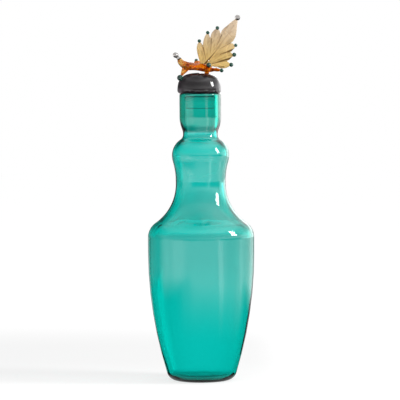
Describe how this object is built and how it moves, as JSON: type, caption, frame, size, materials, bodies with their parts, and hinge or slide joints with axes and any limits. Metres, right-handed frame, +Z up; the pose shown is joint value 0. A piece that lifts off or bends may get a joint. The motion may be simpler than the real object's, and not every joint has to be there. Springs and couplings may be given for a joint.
{
  "type": "stoppered decorative glass bottle",
  "caption": "Tall blown glass bottle with a waisted, bulged neck and a domed lift-out stopper that carries two lobed glass leaves tipped with beads.",
  "frame": {"origin": "middle of the ring foot that the bottle stands on", "axes": "+Z up along the bottle's axis, -Y towards the viewer of the picture, +X to the side that the upright leaf leans to"},
  "size_m": [0.1064, 0.1064, 0.365],
  "materials": {
    "teal_glass": "clear blown glass",
    "smoke_glass": "dark smoke glass",
    "ground_glass": "ground, matt",
    "amber_glass": "lampworked",
    "orange_glass": "lampworked",
    "green_glass": "fused bead",
    "clear_glass": "fused bead"
  },
  "bodies": {
    "bottle": {"bottle": "teal_glass"},
    "stopper": {"stopper_dome": "smoke_glass", "stopper_peg": "ground_glass", "leaf_foot": "orange_glass", "upright_leaf": "amber_glass", "lying_leaf": "orange_glass", "upright_leaf_bead_1": "green_glass", "upright_leaf_bead_2": "green_glass", "upright_leaf_bead_3": "green_glass", "upright_leaf_bead_4": "green_glass", "upright_leaf_bead_5": "green_glass", "upright_leaf_bead_6": "green_glass", "lying_leaf_bead_1": "green_glass", "lying_leaf_bead_2": "green_glass", "lying_leaf_bead_3": "green_glass", "lying_leaf_bead_4": "green_glass", "lying_leaf_bead_5": "green_glass", "lying_leaf_bead_6": "green_glass", "upright_leaf_tip_bead": "clear_glass", "lying_leaf_tip_bead": "clear_glass"}
  },
  "joints": [
    {"name": "stopper_lift", "type": "slide", "parent": "bottle", "child": "stopper", "axis": [0, 0, 1], "range_m": [0, 0.05]}
  ]
}
